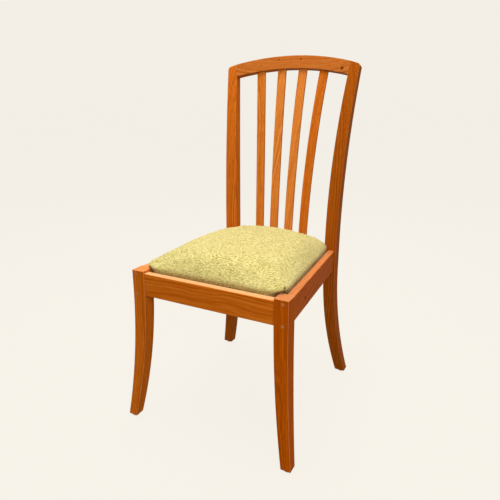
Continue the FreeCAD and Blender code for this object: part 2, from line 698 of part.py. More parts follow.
# Crest rail: bowed in plan, arched in front view, leaning with the posts and tenoned between them
crest = piece("crest_board")
place(crest, "0", crest_depth, crest_low)
crest.Placement.Rotation = FreeCAD.Rotation(FreeCAD.Vector(-1, 0, 0), value(lean))
crest.setExpression("Placement.Rotation.Angle", bound(lean))
blank_end = f"({crest_half} + crest_height)"
crest_plan = sketch_on(crest, "XY_Plane", "crest_plan")
back_radius = f"({bow_radius} + crest_thick)"
back_bow = f"(crest_bow + crest_thick - {arched_drop(back_radius, blank_end)})"
outline(crest_plan, [(f"-{blank_end}", bow(blank_end), bow_radius), (blank_end, bow(blank_end)),
                     (blank_end, back_bow, f"-{back_radius}"), (f"-{blank_end}", back_bow)])
pad(crest, crest_plan, "4 * (crest_height + crest_rise)")
trim(crest, "XZ_Plane", "crest_front_view",
     [(f"-{blank_end}", arch(blank_end), arch_radius), (blank_end, arch(blank_end)),
      (blank_end, f"{arch(blank_end)} + crest_height", f"-{arch_radius}"),
      (f"-{blank_end}", f"{arch(blank_end)} + crest_height")])
end_run = f"({flare} * 2 * crest_height)"
trim(crest, "XZ_Plane", "crest_ends",
     [(f"{end_run} - {crest_half}", "-2 * crest_height"), (f"{crest_half} - {end_run}", "-2 * crest_height"),
      (f"{crest_half} + {end_run}", "2 * crest_height"), (f"-{crest_half} - {end_run}", "2 * crest_height")],
     tilt=lean)
(across, depth, low), (length, thick, height) = crest_tenon
overlap = "tenon_shoulder"
tenon(crest, "crest_tenon_right", [f"{across} - {overlap}", depth, low], [f"{length} + {overlap}", thick, height])
tenon(crest, "crest_tenon_left", [f"-{across} - {length}", depth, low], [f"{length} + {overlap}", thick, height])
node("crest_rail", less("crest_rail", crest, slat_sockets))


# Loose seat: a board, foam and a cloth cover turned under the board, closed below by a dust cover
def seat_plan(inset, inward="0"):
    """Plan outline of the seat, clipped at the front legs, so far inside the rails and posts."""
    whole = f"({inset} + {inward})"
    front = f"({front_rail_back} + {whole})"
    back = f"(seat_depth - {whole})"
    clip = f"({leg_inner} - leg_size - sqrt(2) * {inset} - 2 * {inward})"
    side_zero = f"({side_inner('0')} - {whole} * {side_wide} / rail_thick)"
    side_front = f"(({side_zero} - {clip}) / (1 + {side_slope}))"
    right = [(f"({front} + {clip})", front), (f"({side_front} + {clip})", side_front),
             (f"({side_zero} - {side_slope} * {back})", back)]
    return right + [(f"-{across}", depth) for across, depth in right[::-1]]


# The crown swells quickly from the upright edge and flattens towards the middle: shares of its width and rise
CROWN = ((0, 0), (0.03, 0.2), (0.1, 0.44), (0.2, 0.61), (0.35, 0.76), (0.5, 0.87), (0.7, 0.96), (1, 1))


def crowned(label, inset, below, drop):
    """A crowned seat shape: its plan inset, its underside below the seat plane, its top lowered by drop."""
    body = piece(label)
    levels = [("0", f"-({below})")]
    levels += [(f"({inward} * crown_width)",
                f"(crown_wall + {upward} * (crown_middle - crown_wall) - ({drop}))") for inward, upward in CROWN]
    sections = []
    for number, (inward, high) in enumerate(levels):
        section = sketch_on(body, "XY_Plane", f"{label}_level_{number}", "leg_size",
                            f"leg_height + {high}", "-seat_pitch")
        outline(section, [(across, f"({depth} - leg_size) / cos(seat_pitch * 1 deg)")
                          for across, depth in seat_plan(inset, inward)])
        sections.append(section)
    wall = body.newObject("PartDesign::AdditiveLoft", label + "_wall")
    wall.Profile = sections[0]
    wall.Sections = sections[1:2]
    crown = body.newObject("PartDesign::AdditiveLoft", label + "_crown")
    crown.Profile = sections[1]
    crown.Sections = sections[2:]
    crown.Ruled = True
    doc.recompute()
    return body


under_board = "(board_sink + board_thick)"
inside = "(cloth_thick + soft_gap)"
board = piece("seat_board")
pitched(board, "seat_board", seat_plan(f"(seat_gap + {inside})"), "-board_sink", "board_thick")
node("seat_board", board)

node("seat_foam", crowned("seat_foam", f"(seat_gap + {inside})", "board_sink", inside))

cloth = less("seat_cloth", crowned("cloth_outside", "seat_gap", f"{under_board} + cloth_thick", "0"),
             crowned("cloth_inside", "(seat_gap + cloth_thick)", under_board, "cloth_thick"))
window = piece("cloth_window")
pitched(window, "cloth_window", seat_plan("(seat_gap + cloth_turn)"), "-board_sink",
        "board_thick + 2 * cloth_thick")
node("seat_cover", less("seat_cover", cloth, window))

dust = piece("dust_cover")
pitched(dust, "dust_cover", seat_plan("(seat_gap + dust_inset)"), f"-{under_board} - cloth_thick", "dust_thick")
node("dust_cover", dust)

doc.recompute()
for item in doc.Objects:
    if "Invalid" in item.State or "Error" in item.State:
        raise RuntimeError(f"{item.Label} did not build: {item.State}")
for label, item in nodes.items():
    if item.Shape.isNull() or not item.Shape.isValid():
        raise RuntimeError(f"{label} has no valid shape")

os.makedirs("parts", exist_ok=True)
for label, item in nodes.items():
    item.Shape.exportStep(f"parts/{label}.step")
    print(label, len(item.Shape.Solids), round(item.Shape.Volume), item.Shape.BoundBox)
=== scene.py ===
import bpy
import bmesh
import math
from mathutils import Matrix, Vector, noise


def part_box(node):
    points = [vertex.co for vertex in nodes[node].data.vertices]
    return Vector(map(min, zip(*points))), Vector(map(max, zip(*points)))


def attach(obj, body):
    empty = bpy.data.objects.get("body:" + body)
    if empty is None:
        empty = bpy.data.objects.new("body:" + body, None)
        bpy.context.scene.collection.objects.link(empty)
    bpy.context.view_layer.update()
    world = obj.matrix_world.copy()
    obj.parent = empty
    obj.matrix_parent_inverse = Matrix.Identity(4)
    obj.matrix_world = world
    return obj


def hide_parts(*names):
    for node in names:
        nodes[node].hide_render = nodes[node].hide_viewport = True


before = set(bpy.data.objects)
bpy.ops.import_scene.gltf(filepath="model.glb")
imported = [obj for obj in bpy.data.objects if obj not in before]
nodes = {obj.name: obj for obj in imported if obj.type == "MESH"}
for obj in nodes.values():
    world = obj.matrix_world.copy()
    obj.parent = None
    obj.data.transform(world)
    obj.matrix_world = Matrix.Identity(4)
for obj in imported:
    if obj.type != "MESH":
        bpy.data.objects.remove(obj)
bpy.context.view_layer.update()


# Camera and frame of the picture. The chair is seen from above its right front corner, from about
# 1.3 m, with a lens of 34 mm on a 36 mm sensor. The picture is square.
SENSOR, LENS = 36.0, 34.33                # millimetres
EYE = (0.6002, -1.1631, 0.8757)
AIMED_AT = (0.0274, -0.0673, 0.4811)


def linked(name, data):
    """A new object in the scene, with its data."""
    thing = bpy.data.objects.new(name, data)
    bpy.context.scene.collection.objects.link(thing)
    return thing


camera = linked("camera", bpy.data.cameras.new("camera"))
camera.data.sensor_width = SENSOR
camera.data.lens = LENS
camera.location = EYE
aim = Vector(AIMED_AT) - camera.location
camera.rotation_euler = aim.to_track_quat("-Z", "Y").to_euler()
bpy.context.scene.camera = camera


# Wooden frame: legs, posts, rails, crest and slats, sawn from solid cherry, sanded and given a thin
# clear finish. The boards are cut along the grain, so each piece has its own run of grain.
def srgb(code, alpha=1.0):
    """A hex colour as the eye sees it, turned to linear light."""
    parts = [int(code[start:start + 2], 16) / 255 for start in (1, 3, 5)]
    return [part / 12.92 if part <= 0.04045 else ((part + 0.055) / 1.055) ** 2.4 for part in parts] + [alpha]


def add(tree, kind, inputs=None, stops=None, **settings):
    """Adds one node, with its settings, its ramp stops and the values or links of its sockets."""
    node = tree.nodes.new("ShaderNode" + kind)
    for name, setting in settings.items():
        setattr(node, name, setting)
    for place, code in stops or []:
        stop = node.color_ramp.elements.new(place)
        stop.color = srgb(code)
    if stops:
        node.color_ramp.elements.remove(node.color_ramp.elements[0])
        node.color_ramp.elements.remove(node.color_ramp.elements[-1])
    for name, source in (inputs or {}).items():
        if isinstance(source, bpy.types.NodeSocket):
            tree.links.new(source, node.inputs[name])
        else:
            node.inputs[name].default_value = source
    return node


def new_material(name):
    """An empty material with its surface shader."""
    material = bpy.data.materials.new(name)
    material.use_nodes = True
    tree = material.node_tree
    return material, tree, tree.nodes["Principled BSDF"]


def dress(thing, material):
    """Gives an object its one material."""
    thing.data.materials.clear()
    thing.data.materials.append(material)


# Cherry under a thin clear finish: a warm orange brown in which growth rings about 4 mm apart run as soft
# lines along the board and as arcs on its ends, with fine fibres and short dark gum flecks. Every edge is
# painted paler, partly as wear and partly as a painted highlight, and the upper faces of some pieces carry
# a painted sheen. Streaks 2.5 mm wide stand for the pores, which are too fine to show.
RING = 0.0042
STREAK, STREAKS_ALONG = 0.0025, 5.0       # width, and how many follow each other in a metre
FIBRE, FIBRES_ALONG = 0.0009, 22.0
FLECK, FLECKS_ALONG = 0.0007, 160.0
RINGS_SHOW, STREAKS_SHOW, FIBRES_SHOW = 0.44, 0.34, 0.22      # shares of the figure
WANDER = 0.022                            # how far the rings stray from round
EDGE = 0.0028                             # radius of the edges that are painted paler
GUM, KNOT = "#6b2c0c", "#260c02"
# Pale tones: of the edges, as wear and painted highlight, and of the painted sheen on upper faces.
EDGE_WEAR_AND_HIGHLIGHT_TONE, PAINTED_SHEEN = "#f4b881", "#f6c692"
EDGE_WEAR_AND_HIGHLIGHT = 0.40                                # how far the edges of every piece are painted paler, as wear and as a painted highlight
FINISH = "#f2a256"                        # tint of what gloss there is


def cherry(node_name, turn, pith, light="#e18c3a", middle="#cf7426", dark="#ab5914", knots=(), sheen_and_wear=0.0):
    """Cherry for one piece: its grain turned from upright, sawn so far from the heart of the log, with a painted
    sheen in pale patches on its upper faces, standing in for the light from above, and its edges painted paler
    still."""
    material, tree, shader = new_material("cherry_" + node_name)
    low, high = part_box(node_name)
    place = add(tree, "TexCoord").outputs["Object"]
    local = add(tree, "VectorMath", {0: place, 1: (low + high) / 2}, operation="SUBTRACT").outputs[0]
    turned = add(tree, "Mapping", {"Vector": local, "Location": pith, "Rotation": turn}).outputs[0]
    bend = add(tree, "TexNoise", {"Vector": turned, "Scale": 5.0, "Detail": 2.0}).outputs["Color"]
    bend = add(tree, "VectorMath", {0: bend, 1: (0.5, 0.5, 0.5)}, operation="SUBTRACT").outputs[0]
    bend = add(tree, "VectorMath", {0: bend, 1: (WANDER, WANDER, 0.0)}, operation="MULTIPLY").outputs[0]
    bent = add(tree, "VectorMath", {0: turned, 1: bend}).outputs[0]
    radius = add(tree, "VectorMath", {0: bent, 1: (1 / RING, 1 / RING, 0.0)}, operation="MULTIPLY").outputs[0]
    radius = add(tree, "VectorMath", {0: radius}, operation="LENGTH").outputs["Value"]
    rings = add(tree, "TexNoise", {"W": radius, "Scale": 1.0, "Detail": 2.0},
                noise_dimensions="1D").outputs["Fac"]
    lines = add(tree, "VectorMath", {0: bent, 1: (1 / STREAK, 1 / STREAK, STREAKS_ALONG)},
                operation="MULTIPLY").outputs[0]
    lines = add(tree, "TexNoise", {"Vector": lines, "Scale": 1.0, "Detail": 2.0}).outputs["Fac"]
    thin = add(tree, "VectorMath", {0: bent, 1: (1 / FIBRE, 1 / FIBRE, FIBRES_ALONG)},
               operation="MULTIPLY").outputs[0]
    fibres = add(tree, "TexNoise", {"Vector": thin, "Scale": 1.0, "Detail": 3.0,
                                    "Roughness": 0.6}).outputs["Fac"]
    short = add(tree, "VectorMath", {0: bent, 1: (1 / FLECK, 1 / FLECK, FLECKS_ALONG)},
                operation="MULTIPLY").outputs[0]
    flecks = add(tree, "TexNoise", {"Vector": short, "Scale": 1.0, "Detail": 1.0}).outputs["Fac"]
    figure = add(tree, "Math", {0: fibres, 1: FIBRES_SHOW}, operation="MULTIPLY").outputs[0]
    figure = add(tree, "Math", {0: lines, 1: STREAKS_SHOW, 2: figure}, operation="MULTIPLY_ADD").outputs[0]
    figure = add(tree, "Math", {0: rings, 1: RINGS_SHOW, 2: figure}, operation="MULTIPLY_ADD").outputs[0]
    colour = add(tree, "ValToRGB", {"Fac": figure}, [(0.31, dark), (0.48, middle), (0.65, light)]).outputs[0]
    gum = add(tree, "MapRange", {"Value": flecks, "From Min": 0.66, "From Max": 0.74, "To Max": 0.5}).outputs[0]
    colour = add(tree, "Mix", {0: gum, 6: colour, 7: srgb(GUM)}, data_type="RGBA").outputs[2]
    for centre, size in knots:
        reach = add(tree, "VectorMath", {0: place, 1: centre}, operation="DISTANCE").outputs["Value"]
        ragged = add(tree, "Math", {0: lines, 1: size * 0.8, 2: reach}, operation="MULTIPLY_ADD").outputs[0]
        mark = add(tree, "MapRange", {"Value": ragged, "From Min": size * 0.7, "From Max": size * 2.0,
                                      "To Min": 0.95, "To Max": 0.0}).outputs[0]
        colour = add(tree, "Mix", {0: mark, 6: colour, 7: srgb(KNOT)}, data_type="RGBA").outputs[2]
    # Edges found by the bevel are painted paler, partly as wear and partly as a painted highlight.
    eased = add(tree, "Bevel", {"Radius": EDGE}, samples=6).outputs[0]
    flat = add(tree, "NewGeometry").outputs["True Normal"]
    same = add(tree, "VectorMath", {0: eased, 1: flat}, operation="DOT_PRODUCT").outputs["Value"]
    edge_wear_and_highlight = add(tree, "MapRange", {"Value": same, "From Min": 0.70, "From Max": 0.98, "To Min": EDGE_WEAR_AND_HIGHLIGHT + sheen_and_wear,
                                    "To Max": 0.0}).outputs[0]
    colour = add(tree, "Mix", {0: edge_wear_and_highlight, 6: colour, 7: srgb(EDGE_WEAR_AND_HIGHLIGHT_TONE)}, data_type="RGBA").outputs[2]
    # Painted highlight: faces turned upward are mixed toward a pale tone in streaky patches, as a sheen of the
    # lights above.
    if sheen_and_wear:
        upward = add(tree, "SeparateXYZ", {0: flat}).outputs["Z"]
        upward = add(tree, "MapRange", {"Value": upward, "From Min": 0.80, "From Max": 0.97}).outputs[0]
        painted_sheen_patch = add(tree, "MapRange", {"Value": lines, "From Min": 0.3, "From Max": 0.7,
                                       "To Min": 0.75 * sheen_and_wear, "To Max": sheen_and_wear}).outputs[0]
        painted_sheen_patch = add(tree, "Math", {0: upward, 1: painted_sheen_patch}, operation="MULTIPLY").outputs[0]
        colour = add(tree, "Mix", {0: painted_sheen_patch, 6: colour, 7: srgb(PAINTED_SHEEN)}, data_type="RGBA").outputs[2]
    tree.links.new(colour, shader.inputs["Base Color"])
    satin = add(tree, "MapRange", {"Value": fibres, "To Min": 0.42, "To Max": 0.58}).outputs[0]
    tree.links.new(satin, shader.inputs["Roughness"])
    shader.inputs["IOR"].default_value = 1.5
    # The finish is thin and rubbed down, so hardly any gloss is left, even at a low angle.
    shader.inputs["Specular IOR Level"].default_value = 0.012
    shader.inputs["Specular Tint"].default_value = srgb(FINISH)
    grain = add(tree, "Bump", {"Height": fibres, "Distance": 0.0001, "Strength": 0.35, "Normal": eased}).outputs[0]
    tree.links.new(grain, shader.inputs["Normal"])
    dress(nodes[node_name], material)


# The run of the grain, a little off the line of the piece, and the tones of the boards.
UPRIGHT = (0.012, -0.009, 0.0)
ACROSS = (0.011, math.radians(90) + 0.015, 0.0)
BACKWARDS = (math.radians(90) - 0.014, 0.010, 0.0)
DEEP = {"light": "#cc6a0e", "middle": "#b65404", "dark": "#923e00"}
DARK = {"light": "#b8651c", "middle": "#a3510d", "dark": "#833b04"}
WARM = {"light": "#e0822a", "middle": "#cc6a14", "dark": "#a65006"}
DULL = {"light": "#ca7d3b", "middle": "#b86727", "dark": "#985112"}
RUDDY = {"light": "#dc7f2b", "middle": "#c86717", "dark": "#a24d0a"}
PALE = {"light": "#e89545", "middle": "#d67d31", "dark": "#b36120"}
RAIL_KNOTS = [((0.2163, -0.1317, 0.4034), 0.0042)]
CREST_KNOTS = [((0.160, 0.2444, 0.957), 0.004), ((-0.0442, 0.2603, 0.9869), 0.0020),
               ((0.0276, 0.2605, 0.986), 0.0026)]
cherry("rear_post_right", UPRIGHT, (0.075, 0.050, 0.2), **DARK)
cherry("rear_post_left", UPRIGHT, (-0.090, 0.060, 1.1), **RUDDY)
cherry("front_leg_right", UPRIGHT, (0.030, 0.085, 2.4), sheen_and_wear=0.32, **DEEP)
cherry("front_leg_left", UPRIGHT, (-0.055, 0.070, 3.0), sheen_and_wear=0.25, **WARM)
cherry("front_rail", ACROSS, (0.050, 0.095, 0.9), sheen_and_wear=0.75, **WARM)
cherry("side_rail_right", BACKWARDS, (0.085, -0.060, 1.7), knots=RAIL_KNOTS, sheen_and_wear=0.28, **DEEP)
cherry("side_rail_left", BACKWARDS, (-0.070, 0.080, 4.6), sheen_and_wear=0.4)
cherry("rear_rail", ACROSS, (0.065, 0.080, 2.6), sheen_and_wear=0.4)
cherry("crest_rail", ACROSS, (0.040, 0.075, 0.3), knots=CREST_KNOTS, **DULL)
cherry("back_slat_1", UPRIGHT, (0.060, 0.040, 0.7))
cherry("back_slat_2", UPRIGHT, (-0.045, 0.055, 1.5), **PALE)
cherry("back_slat_3", UPRIGHT, (0.070, -0.050, 5.1), **PALE)
cherry("back_slat_4", UPRIGHT, (-0.080, 0.045, 6.2), **RUDDY)

# Joint pegs: 9 mm cherry dowels, driven through the front joints and sanded almost flush. Their end
# grain takes the light, inside a thin dark line of glue.
PEG_ACROSS = 0.2105
PEG_LOW = 0.378
PEG_STEP = 0.055
GLUE_FROM, GLUE_TO = 0.0037, 0.0043       # distances from the peg's axis
END_RINGS = (1 / 0.0016, 4.0, 1 / 0.0009)       # in a metre, across the peg, along it and up it
material, tree, shader = new_material("cherry_end_grain")
place = add(tree, "TexCoord").outputs["Object"]
split = add(tree, "SeparateXYZ", {0: place})
away = add(tree, "Math", {0: split.outputs["X"]}, operation="ABSOLUTE").outputs[0]
away = add(tree, "Math", {0: away, 1: PEG_ACROSS}, operation="SUBTRACT").outputs[0]
high = add(tree, "Math", {0: split.outputs["Z"], 1: PEG_LOW - PEG_STEP / 2}, operation="SUBTRACT").outputs[0]
high = add(tree, "Math", {0: high, 1: PEG_STEP}, operation="FLOORED_MODULO").outputs[0]
high = add(tree, "Math", {0: high, 1: PEG_STEP / 2}, operation="SUBTRACT").outputs[0]
flat = add(tree, "CombineXYZ", {0: away, 1: 0.0, 2: high}).outputs[0]
reach = add(tree, "VectorMath", {0: flat}, operation="LENGTH").outputs["Value"]
rings = add(tree, "VectorMath", {0: place, 1: END_RINGS}, operation="MULTIPLY").outputs[0]
rings = add(tree, "TexNoise", {"Vector": rings, "Scale": 1.0, "Detail": 3.0})
colour = add(tree, "ValToRGB", {"Fac": rings.outputs["Fac"]}, [(0.35, "#b8672c"), (0.65, "#dc9151")]).outputs[0]
glue = add(tree, "MapRange", {"Value": reach, "From Min": GLUE_FROM, "From Max": GLUE_TO}).outputs[0]
colour = add(tree, "Mix", {0: glue, 6: colour, 7: srgb("#6a2f0c")}, data_type="RGBA").outputs[2]
tree.links.new(colour, shader.inputs["Base Color"])
shader.inputs["Roughness"].default_value = 0.48
shader.inputs["Specular Tint"].default_value = srgb(FINISH)
dent = add(tree, "Bump", {"Height": rings.outputs["Fac"], "Distance": 0.0002, "Strength": 0.4}).outputs[0]
tree.links.new(dent, shader.inputs["Normal"])
dress(nodes["joint_pegs"], material)

# Corner blocks: offcuts of poplar, sawn and left bare, glued and screwed into the seat frame.
# Saw marks about 7 mm apart cross a pale, dry, slightly green wood.
POPLAR_GRAIN = (120.0, 120.0, 900.0)      # in a metre: streaks 8 mm long and 1.1 mm high
SAW_MARKS = 50.0                          # scale of the wave that gives them
material, tree, shader = new_material("bare_poplar")
place = add(tree, "TexCoord").outputs["Object"]
grain = add(tree, "VectorMath", {0: place, 1: POPLAR_GRAIN}, operation="MULTIPLY").outputs[0]
grain = add(tree, "TexNoise", {"Vector": grain, "Scale": 1.0, "Detail": 4.0})
colour = add(tree, "ValToRGB", {"Fac": grain.outputs["Fac"]},
             [(0.3, "#b08a57"), (0.5, "#c9a873"), (0.7, "#bba36c")]).outputs[0]
tree.links.new(colour, shader.inputs["Base Color"])
shader.inputs["Roughness"].default_value = 0.72
saw = add(tree, "TexWave", {"Vector": place, "Scale": SAW_MARKS, "Distortion": 1.5, "Detail": 2.0},
          bands_direction="DIAGONAL")
dent = add(tree, "Bump", {"Height": saw.outputs["Fac"], "Distance": 0.0003, "Strength": 0.4}).outputs[0]
tree.links.new(dent, shader.inputs["Normal"])
for node_name in ("corner_block_front_right", "corner_block_front_left", "corner_block_rear_right",
                  "corner_block_rear_left"):
    dress(nodes[node_name], material)

# Screws of the corner blocks: pan heads of zinc-plated steel with a pressed cross recess, driven through
# the ears of the blocks into the rails. Only the heads show, so the shanks stay in the wood.
SCREW_HEAD = 0.0040        # radius of the head
SCREW_HIGH = 0.0026
EDGE_HIGH, RIM, DOME = 0.35, 0.62, 0.38   # shares of that: straight edge, rim, and the dome over it
SIDES = 48
DOME_STEPS = 10
RECESS_HALF = 0.00062      # half the width of the cross
RECESS_REACH = 0.62        # its length, as a share of the radius
RECESS_DEEP = 0.0013
TWIST = 0.4                # turn from one screw to the next
RIGHT_SCREWS = ((0.14541, -0.2213, 0.41224, (0, 1, 0)), (0.18548, -0.1763, 0.41049, (-1, 0, 0)),
                (0.10811, 0.1707, 0.39978, (0, -1, 0)), (0.15907, 0.1257, 0.40153, (-1, 0, 0)))


def banded(mesh, rings, turned=False):
    """Faces between each ring of points and the next, turned over if asked."""
    for near, far in zip(rings, rings[1:]):
        for first in range(len(near)):
            second = (first + 1) % len(near)
            face = (near[first], far[first], far[second], near[second])
            mesh.faces.new(face[:1] + face[:0:-1] if turned else face)


def built(name, mesh):
    """The finished mesh as an object in the scene."""
    data = bpy.data.meshes.new(name)
    mesh.to_mesh(data)
    mesh.free()
    return linked(name, data)


heads = []
for across, depth, high, facing in RIGHT_SCREWS:
    heads.append((Vector((across, depth, high)), Vector(facing)))
    heads.append((Vector((-across, depth, high)), Vector((-facing[0], facing[1], 0))))
profile = []
for step in range(DOME_STEPS + 1):
    reach = step / DOME_STEPS
    profile.append((reach, SCREW_HIGH * (RIM + DOME * math.sqrt(1 - 0.98 * reach ** 2))))
profile += [(1.0, SCREW_HIGH * EDGE_HIGH), (1.0, 0.0)]
mesh = bmesh.new()
for number, (seat, facing) in enumerate(heads):
    turn = facing.to_track_quat("Z", "Y")
    twist = TWIST * number
    rings = []
    for reach, rise in profile:
        ring = []
        for part in range(SIDES):
            angle = 2 * math.pi * part / SIDES
            x, y = SCREW_HEAD * reach * math.cos(angle), SCREW_HEAD * reach * math.sin(angle)
            recessed = min(abs(x), abs(y)) < RECESS_HALF and reach < RECESS_REACH
            ring.append(mesh.verts.new(seat + turn @ Vector((
                x * math.cos(twist) - y * math.sin(twist), x * math.sin(twist) + y * math.cos(twist),
                rise - (RECESS_DEEP * (1 - reach) if recessed else 0.0)))))
        rings.append(ring)
    banded(mesh, rings)
bmesh.ops.remove_doubles(mesh, verts=mesh.verts[:], dist=0.000002)
bmesh.ops.recalc_face_normals(mesh, faces=mesh.faces[:])
screws = built("screw_heads", mesh)
# Zinc-plated steel, yellow passivated: a dull, slightly clouded metal.
ZINC_CLOUDS = 400.0                       # in a metre, 2.5 mm each
zinc, tree, shader = new_material("zinc_plated_steel")
place = add(tree, "TexCoord").outputs["Object"]
cloud = add(tree, "TexNoise", {"Vector": place, "Scale": ZINC_CLOUDS, "Detail": 3.0})
colour = add(tree, "ValToRGB", {"Fac": cloud.outputs["Fac"]}, [(0.35, "#a89f84"), (0.7, "#cfc6a8")]).outputs[0]
tree.links.new(colour, shader.inputs["Base Color"])
shader.inputs["Metallic"].default_value = 1.0
dull = add(tree, "MapRange", {"Value": cloud.outputs["Fac"], "To Min": 0.28, "To Max": 0.5}).outputs[0]
tree.links.new(dull, shader.inputs["Roughness"])
dress(screws, zinc)
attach(screws, "frame")
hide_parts("corner_block_screws")

# Foot glides: buttons of black nylon, moulded round a nail that is driven up into each foot. Their smooth
# rims are scuffed by the floor.
SCUFFS = 900.0                            # in a metre, about 1.1 mm each
material, tree, shader = new_material("moulded_nylon")
place = add(tree, "TexCoord").outputs["Object"]
scuff = add(tree, "TexNoise", {"Vector": place, "Scale": SCUFFS, "Detail": 4.0, "Roughness": 0.7})
colour = add(tree, "ValToRGB", {"Fac": scuff.outputs["Fac"]}, [(0.45, "#17140f"), (0.75, "#3a352d")]).outputs[0]
tree.links.new(colour, shader.inputs["Base Color"])
sheen_and_wear = add(tree, "MapRange", {"Value": scuff.outputs["Fac"], "To Min": 0.35, "To Max": 0.65}).outputs[0]
tree.links.new(sheen_and_wear, shader.inputs["Roughness"])
shader.inputs["IOR"].default_value = 1.53
dress(nodes["foot_glides"], material)

# Seat board: 12 mm birch plywood under the foam, seen only when the cloth is taken off.
# Its edge shows the plies, and its faces a wide rotary-cut figure.
PLY_FIGURE = (60.0, 9.0, 700.0)           # in a metre: 17 mm wide, 110 mm long, plies 1.4 mm thick
material, tree, shader = new_material("birch_plywood")
place = add(tree, "TexCoord").outputs["Object"]
figure = add(tree, "VectorMath", {0: place, 1: PLY_FIGURE}, operation="MULTIPLY").outputs[0]
figure = add(tree, "TexNoise", {"Vector": figure, "Scale": 1.0, "Detail": 4.0})
colour = add(tree, "ValToRGB", {"Fac": figure.outputs["Fac"]}, [(0.35, "#b98f5c"), (0.65, "#d8b583")]).outputs[0]
tree.links.new(colour, shader.inputs["Base Color"])
shader.inputs["Roughness"].default_value = 0.66
dress(nodes["seat_board"], material)

# Cushion: foam on the seat board under one piece of cloth, pulled down over the edges, pleated at the
# front corners and stapled under the board. The pull leaves a crowned pad with soft, rounded shoulders.
FRONT = -0.2573            # front faces of the front legs, from which depths are measured
LEG = 0.037
LEG_TOP = 0.443
PITCH = math.tan(math.radians(1.7))
MIDDLE = 0.230             # depth of the middle of the seat
HALF_DEEP = 0.206
HALF_WIDE = 0.195
ROUND = 0.016              # corners of the seat's plan
SPACING = 0.006            # points along a plan
FRONT_HALF, NARROWS = 0.2058, 0.0930      # half the width at the legs' front, less so much per depth
DIP = 0.0055               # the front rail's top lies below the leg tops
DIP_DEPTH, DIP_FADE = 0.050, 0.020
LEGS_APART, LEGS_FADE = 0.188, 0.012
BULGE = 0.0045             # the cloth swells out over the rails, widest at the waist
WAIST = 0.010
UNDER = -0.0164            # underside of the cloth, from the tops of the side rails
SOFT_FRONT, SOFT_REAR, SOFT_SIDE = 0.058, 0.034, 0.044
SHOULDER, REAR_LIFT, SIDE_CROWN, END_CROWN = 0.0165, 0.008, 0.019, 0.014
ROLL = 2.4                 # how squarely the shoulders roll over
corners = [(0.1717, 0.0240), (0.2009, 0.0532), (0.1653, 0.4360)]
corners += [(-across, depth) for across, depth in corners[::-1]]
middle_y = FRONT + MIDDLE


def seat_plane(y):
    """Height of the side rails' top faces at a depth."""
    return LEG_TOP - (y - FRONT - LEG) * PITCH


def rounded_plan(points, radius, steps):
    """A closed outline with each corner turned into an arc, its straight runs divided evenly."""
    turned = []
    for before, here, after in zip(points[-1:] + points[:-1], points, points[1:] + points[:1]):
        middle = Vector(here)
        back = (Vector(before) - middle).normalized()
        ahead = (Vector(after) - middle).normalized()
        half = back.angle(ahead) / 2
        reach = radius / math.tan(half)
        centre = middle + (back + ahead).normalized() * radius / math.sin(half)
        first = middle + back * reach - centre
        last = middle + ahead * reach - centre
        turn = first.angle_signed(last)
        for step in range(steps + 1):
            share = turn * step / steps
            turned.append(centre + Vector((first.x * math.cos(share) + first.y * math.sin(share),
                                           first.y * math.cos(share) - first.x * math.sin(share))))
    filled = []
    for here, after in zip(turned, turned[1:] + turned[:1]):
        pieces = max(1, round((after - here).length / SPACING))
        filled += [here.lerp(after, piece / pieces) for piece in range(pieces)]
    return [(point.x, point.y + FRONT) for point in filled]


def front_dip(x, y):
    """How far the cloth follows the top of the front rail down, between the front legs."""
    near_front = min(1.0, max(0.0, (DIP_DEPTH - y + FRONT) / DIP_FADE))
    between_legs = min(1.0, max(0.0, (LEGS_APART - abs(x)) / LEGS_FADE))
    return DIP * near_front * between_legs


def crown(x, y):
    """Height of the pad over the seat plane, before the cloth is drawn tight: it swells out over the
    rails, stands widest at its waist and then rolls over into the crown."""
    depth = y - FRONT
    run = (depth - MIDDLE) / (HALF_DEEP + BULGE)
    half = FRONT_HALF - NARROWS * depth + BULGE
    side = min(1.0, abs(x) / half)
    end = min(1.0, abs(run))
    soft_end = SOFT_FRONT if run < 0 else SOFT_REAR
    rise = SHOULDER + REAR_LIFT * run + SIDE_CROWN * (1 - side ** 2) + END_CROWN * (1 - end ** 2)
    near = [min(1.0, (1 - side) * half / SOFT_SIDE), min(1.0, (1 - end) * HALF_DEEP / soft_end)]
    edge = math.prod(1 - (1 - share) ** ROLL for share in near)
    return WAIST - front_dip(x, y) + rise * edge ** 0.5


# Shares of the plan: at the waist, just inside the edge of the rails, and where the base fills the frame.
FULL = 1 + BULGE / HALF_WIDE
CLEAR = 1 - 0.0030 / HALF_WIDE
SNUG = 1 + 0.0018 / HALF_WIDE
SKIRT = ((0.0, UNDER), (0.4, UNDER), (0.8, UNDER), (1.0, UNDER), (SNUG, UNDER + 0.001), (SNUG, -0.006),
         (CLEAR, -0.001), (0.35 * CLEAR + 0.65 * FULL, 0.004), (FULL, WAIST))
TURNED_UNDER = UNDER + 0.004              # rings up to here lie under the seat
CROWN_STEPS = 24
GATHER = 1.6               # the rings stand closer near the edge
VOXEL = 0.005


def applied(thing):
    """The mesh of an object as its modifiers leave it."""
    return bpy.data.meshes.new_from_object(thing.evaluated_get(bpy.context.evaluated_depsgraph_get()))


